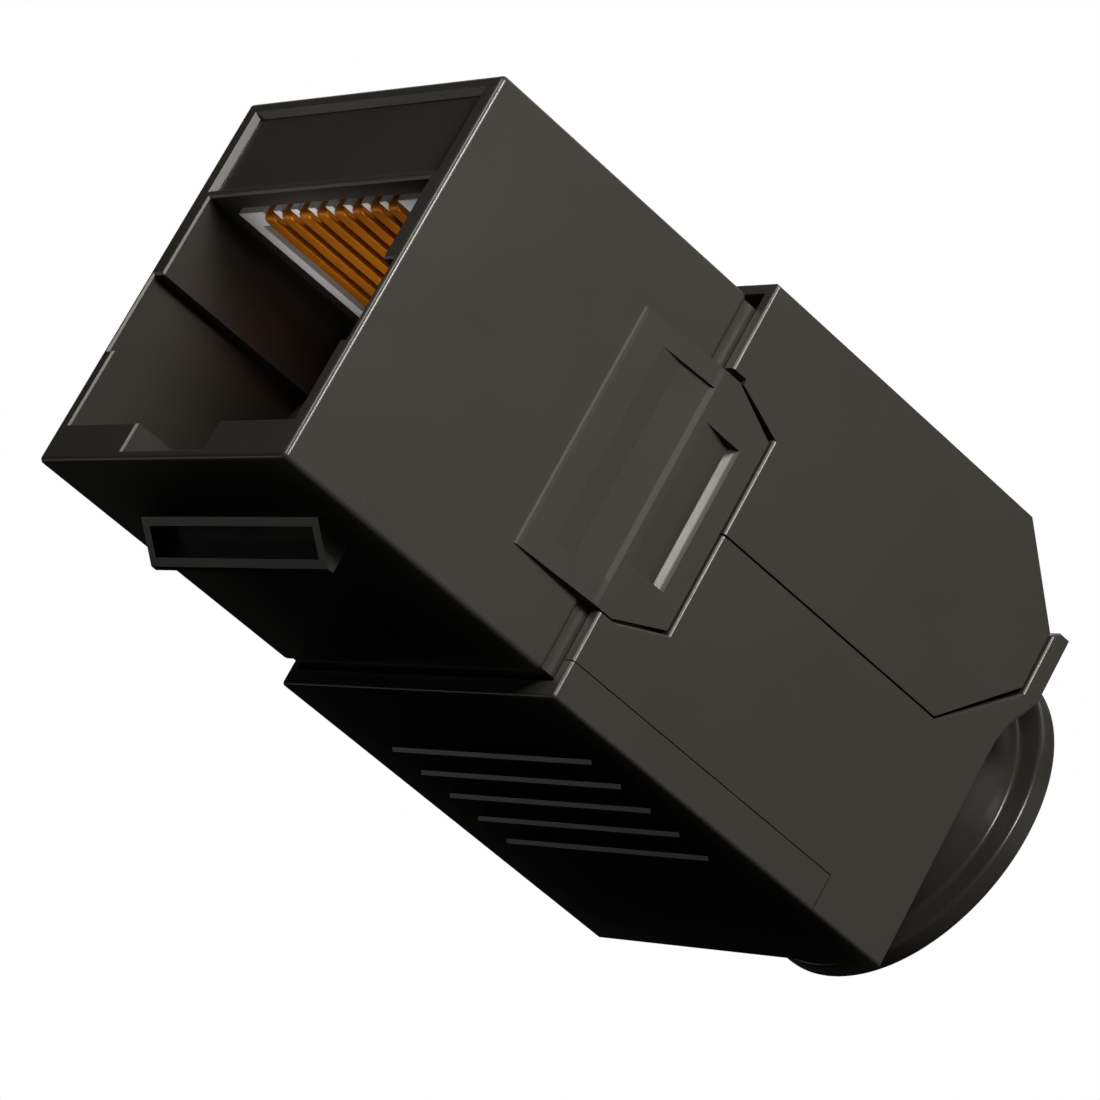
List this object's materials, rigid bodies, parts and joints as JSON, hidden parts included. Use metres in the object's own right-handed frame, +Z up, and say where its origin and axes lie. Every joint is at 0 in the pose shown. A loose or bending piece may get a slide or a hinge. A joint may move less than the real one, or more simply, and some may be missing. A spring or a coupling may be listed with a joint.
{
  "type": "keystone jack",
  "caption": "Modular socket in a snap-in panel housing, with a press-down wiring lid and a round cable collar at the back.",
  "frame": {"origin": "centre of the front face, on the axis shared by the plug and the cable collar", "axes": "+X across the jack, +Y from the front face back to the cable collar, +Z up towards the contacts"},
  "size_m": [0.0154, 0.0324, 0.017],
  "materials": {
    "housing_plastic": "black moulded plastic with a fine satin grain",
    "rear_plastic": "black moulded plastic with a fine satin grain",
    "collar_plastic": "black moulded plastic, smooth",
    "block_plastic": "black moulded plastic, smooth",
    "carrier_plastic": "light grey moulded plastic, smooth",
    "contact_gold": "gold plated wire",
    "terminal_metal": "tinned bronze sheet",
    "board_laminate": "green lacquered glass-fibre laminate"
  },
  "bodies": {
    "jack": {"front_housing": "housing_plastic", "contact_carrier": "carrier_plastic", "contact_1": "contact_gold", "contact_2": "contact_gold", "contact_3": "contact_gold", "contact_4": "contact_gold", "contact_5": "contact_gold", "contact_6": "contact_gold", "contact_7": "contact_gold", "contact_8": "contact_gold", "circuit_board": "board_laminate", "idc_terminal_1": "terminal_metal", "idc_terminal_2": "terminal_metal", "idc_terminal_3": "terminal_metal", "idc_terminal_4": "terminal_metal", "idc_terminal_5": "terminal_metal", "idc_terminal_6": "terminal_metal", "idc_terminal_7": "terminal_metal", "idc_terminal_8": "terminal_metal", "terminal_block": "block_plastic", "rear_body": "rear_plastic", "bottom_cover": "rear_plastic", "cable_collar": "collar_plastic"},
    "lid": {"rear_lid": "rear_plastic", "wire_presser": "block_plastic"}
  },
  "joints": [
    {"name": "lid_slide", "type": "slide", "parent": "jack", "child": "lid", "axis": [0, 0, 1], "range_m": [0, 0.005]}
  ]
}
